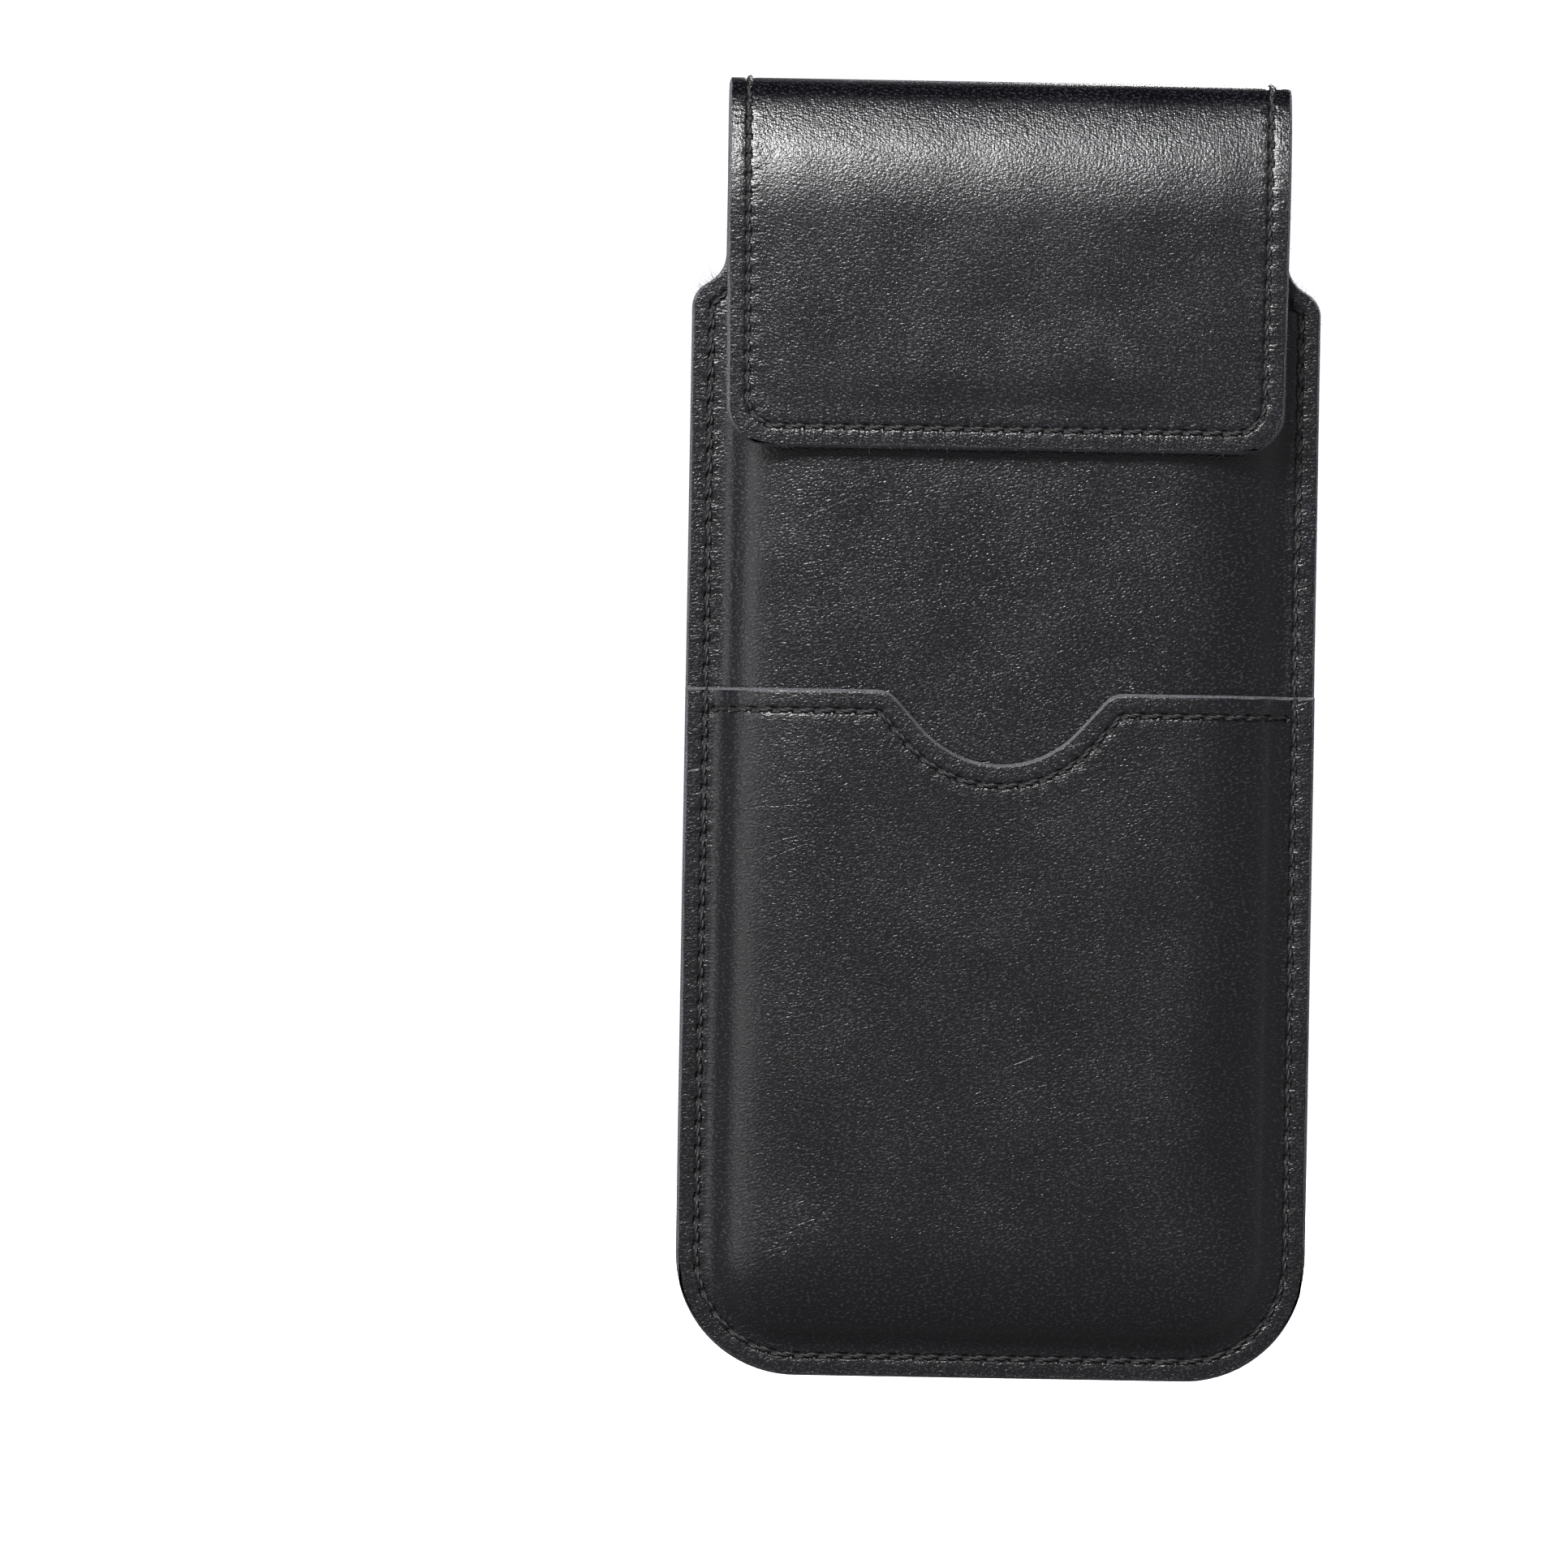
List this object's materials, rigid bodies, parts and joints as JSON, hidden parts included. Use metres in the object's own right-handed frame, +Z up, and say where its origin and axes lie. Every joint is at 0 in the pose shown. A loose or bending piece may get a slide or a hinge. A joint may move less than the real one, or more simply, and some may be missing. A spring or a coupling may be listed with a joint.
{
  "type": "leather phone belt case",
  "caption": "Black leather belt case for a large phone, with a magnetic fold-over flap and a card pocket, and on its back a belt loop, a D-ring and a folded keeper.",
  "frame": {"origin": "middle of the belt tunnel behind the case, where the wearer's belt passes", "axes": "+Z up as worn, -Y out of the front with the flap, +Y towards the wearer, X along the belt"},
  "size_m": [0.094, 0.0283, 0.1936],
  "materials": {
    "back_and_flap_leather": "smooth fine-grained black leather with a satin finish",
    "front_leather": "the same leather, front panel and card pocket",
    "loop_leather": "the same leather, glossier where it is rolled",
    "lining": "thin matt black split leather",
    "thread": "twisted black waxed polyester thread",
    "nickel": "bright nickel plate",
    "magnet_steel": "plain plated steel, hidden between the layers"
  },
  "bodies": {
    "pouch": {"back_leather": "back_and_flap_leather", "back_lining": "lining", "front_leather": "front_leather", "front_lining": "lining", "closure_plate": "magnet_steel", "card_pocket_leather": "front_leather", "card_pocket_lining": "lining", "perimeter_seam_front": "thread", "perimeter_seam_back": "thread", "card_pocket_seam": "thread", "belt_loop_leather": "loop_leather", "belt_loop_lining": "lining", "belt_loop_seam_left": "thread", "belt_loop_seam_right": "thread", "belt_loop_row_lower": "thread", "belt_loop_row_upper": "thread", "d_ring_tab": "loop_leather", "keeper_tab": "loop_leather", "keeper_seam": "thread"},
    "fold_rear": {"fold_rear_leather": "back_and_flap_leather", "fold_rear_lining": "lining"},
    "fold_front": {"fold_front_leather": "back_and_flap_leather", "fold_front_lining": "lining"},
    "flap": {"flap_leather": "back_and_flap_leather", "flap_lining": "lining", "flap_magnet": "magnet_steel", "flap_seam_outside": "thread", "flap_seam_inside": "thread"},
    "ring": {"d_ring": "nickel"}
  },
  "joints": [
    {"name": "flap_fold_rear", "type": "hinge", "parent": "pouch", "child": "fold_rear", "pos_m": [0, -0.00492, 0.05933], "axis": [-1, 0, 0], "range_deg": [0, 60]},
    {"name": "flap_fold_top", "type": "hinge", "parent": "fold_rear", "child": "fold_front", "pos_m": [0, -0.00909, 0.06158], "axis": [-1, 0, 0], "range_deg": [0, 60]},
    {"name": "flap_fold_front", "type": "hinge", "parent": "fold_front", "child": "flap", "pos_m": [0, -0.01357, 0.06009], "axis": [-1, 0, 0], "range_deg": [0, 60]},
    {"name": "d_ring_swing", "type": "hinge", "parent": "pouch", "child": "ring", "pos_m": [0, -0.00083, 0.0271], "axis": [-1, 0, 0], "range_deg": [0, 110]}
  ],
  "couplings": [
    {"joint": "flap_fold_top", "follows": "flap_fold_rear", "ratio": 1},
    {"joint": "flap_fold_front", "follows": "flap_fold_rear", "ratio": 1}
  ]
}
